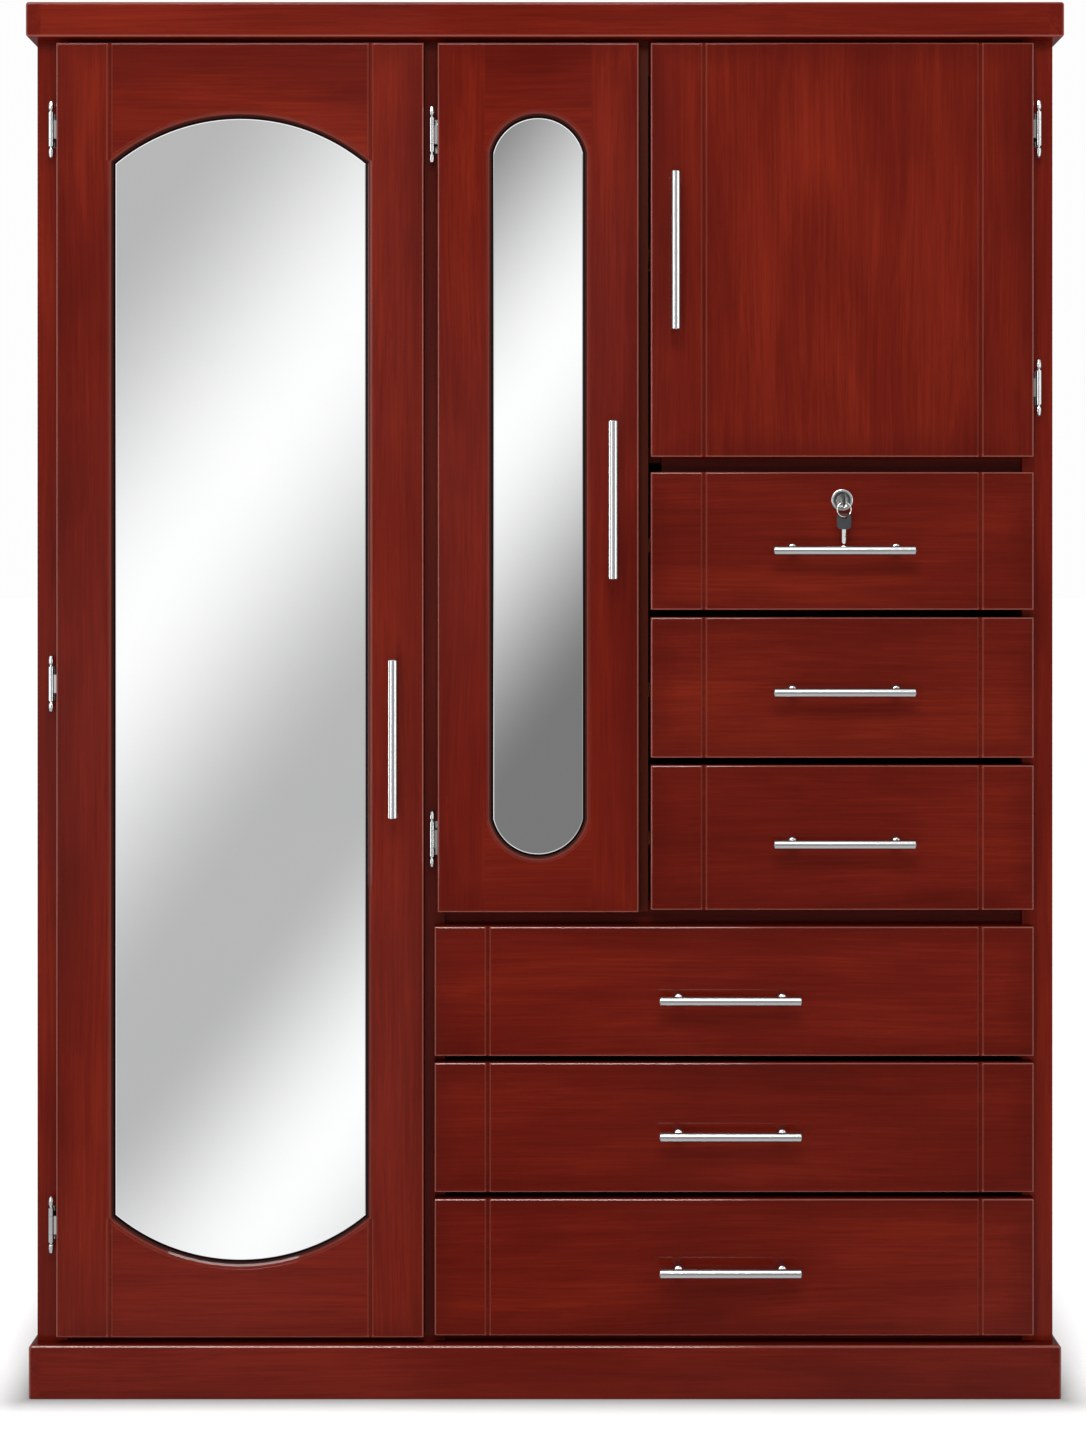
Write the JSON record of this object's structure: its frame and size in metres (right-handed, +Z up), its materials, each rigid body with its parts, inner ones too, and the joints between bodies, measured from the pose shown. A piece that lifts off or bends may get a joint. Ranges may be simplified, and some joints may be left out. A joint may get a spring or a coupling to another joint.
{
  "type": "armoire",
  "caption": "Tall mahogany armoire with mirrored doors, a plain upper door, drawers of two widths, bar handles and a cam lock with hanging keys.",
  "frame": {"origin": "middle of the footprint of the whole piece, handles included, at floor level", "axes": "+Z up, -Y out of the front, +X to the right of someone facing the front"},
  "size_m": [1.36, 0.5751, 1.83],
  "materials": {
    "mahogany": "red mahogany under a clear gloss lacquer",
    "inner_wood": "satin sealed hardwood",
    "back_board": "thin plywood, matte",
    "mirror_glass": "silvered glass with a narrow bevel",
    "brushed_steel": "brushed along the bar",
    "polished_steel": "polished",
    "chromed_tube": "bright chrome",
    "zinc_pins": "bright zinc",
    "catch_plastic": "matte brown",
    "lock_metal": "nickel plated",
    "key_steel": "nickel plated",
    "bow_plastic": "black, fine texture"
  },
  "bodies": {
    "carcass": {"side_panel_left": "mahogany", "side_panel_right": "mahogany", "face_stiles": "mahogany", "face_rails": "mahogany", "partitions": "inner_wood", "case_decks": "inner_wood", "shelves": "inner_wood", "shelf_pins": "zinc_pins", "back_panel": "back_board", "hanging_rail": "chromed_tube", "rail_sockets": "chromed_tube", "drawer_runners": "inner_wood", "door_catches": "catch_plastic", "hinge_frame_leaves": "polished_steel", "hinge_pins": "polished_steel", "hinge_screws": "polished_steel", "plinth": "mahogany", "cornice": "mahogany", "top_board": "mahogany"},
    "left_door": {"left_door_stiles": "mahogany", "left_door_rails": "mahogany", "left_door_mirror": "mirror_glass", "left_door_mirror_back": "back_board", "left_door_handle": "brushed_steel", "left_door_hinge_leaves": "polished_steel"},
    "middle_door": {"middle_door_stiles": "mahogany", "middle_door_rails": "mahogany", "middle_door_mirror": "mirror_glass", "middle_door_mirror_back": "back_board", "middle_door_handle": "brushed_steel", "middle_door_hinge_leaves": "polished_steel"},
    "right_door": {"right_door_stiles": "mahogany", "right_door_panel": "mahogany", "right_door_handle": "brushed_steel", "right_door_hinge_leaves": "polished_steel"},
    "drawer_1": {"drawer_1_front": "mahogany", "drawer_1_box": "inner_wood", "drawer_1_handle": "brushed_steel", "lock_housing": "lock_metal"},
    "drawer_2": {"drawer_2_front": "mahogany", "drawer_2_box": "inner_wood", "drawer_2_handle": "brushed_steel"},
    "drawer_3": {"drawer_3_front": "mahogany", "drawer_3_box": "inner_wood", "drawer_3_handle": "brushed_steel"},
    "drawer_4": {"drawer_4_front": "mahogany", "drawer_4_box": "inner_wood", "drawer_4_handle": "brushed_steel"},
    "drawer_5": {"drawer_5_front": "mahogany", "drawer_5_box": "inner_wood", "drawer_5_handle": "brushed_steel"},
    "drawer_6": {"drawer_6_front": "mahogany", "drawer_6_box": "inner_wood", "drawer_6_handle": "brushed_steel"},
    "lock_plug": {"lock_plug": "lock_metal"},
    "key": {"key_blade": "key_steel", "key_bow": "bow_plastic"},
    "key_ring": {"key_ring": "key_steel"},
    "spare_key": {"spare_key_blade": "key_steel", "spare_key_bow": "bow_plastic"}
  },
  "joints": [
    {"name": "left_door_swing", "type": "hinge", "parent": "carcass", "child": "left_door", "pos_m": [-0.6485, -0.24545, 0.95], "axis": [0, 0, -1], "range_deg": [0, 110]},
    {"name": "middle_door_swing", "type": "hinge", "parent": "carcass", "child": "middle_door", "pos_m": [-0.1485, -0.24545, 1.2], "axis": [0, 0, -1], "range_deg": [0, 100]},
    {"name": "right_door_swing", "type": "hinge", "parent": "carcass", "child": "right_door", "pos_m": [0.6485, -0.24545, 1.5], "axis": [0, 0, 1], "range_deg": [0, 110]},
    {"name": "drawer_1_slide", "type": "slide", "parent": "carcass", "child": "drawer_1", "axis": [0, -1, 0], "range_m": [0, 0.35]},
    {"name": "drawer_2_slide", "type": "slide", "parent": "carcass", "child": "drawer_2", "axis": [0, -1, 0], "range_m": [0, 0.35]},
    {"name": "drawer_3_slide", "type": "slide", "parent": "carcass", "child": "drawer_3", "axis": [0, -1, 0], "range_m": [0, 0.35]},
    {"name": "drawer_4_slide", "type": "slide", "parent": "carcass", "child": "drawer_4", "axis": [0, -1, 0], "range_m": [0, 0.35]},
    {"name": "drawer_5_slide", "type": "slide", "parent": "carcass", "child": "drawer_5", "axis": [0, -1, 0], "range_m": [0, 0.35]},
    {"name": "drawer_6_slide", "type": "slide", "parent": "carcass", "child": "drawer_6", "axis": [0, -1, 0], "range_m": [0, 0.35]},
    {"name": "lock_turn", "type": "hinge", "parent": "drawer_1", "child": "lock_plug", "pos_m": [0.38935, -0.25245, 1.1775], "axis": [0, 1, 0], "range_deg": [0, 90]},
    {"name": "key_pull", "type": "slide", "parent": "lock_plug", "child": "key", "axis": [0, -1, 0], "range_m": [0, 0.018]},
    {"name": "ring_swing", "type": "hinge", "parent": "key", "child": "key_ring", "pos_m": [0.38935, -0.27455, 1.1741], "axis": [-0.9781, -0.2079, 0], "range_deg": [-8, 75]},
    {"name": "spare_key_swing", "type": "hinge", "parent": "key_ring", "child": "spare_key", "pos_m": [0.38935, -0.27455, 1.1551], "axis": [-0.9781, -0.2079, 0], "range_deg": [-10, 15]}
  ]
}
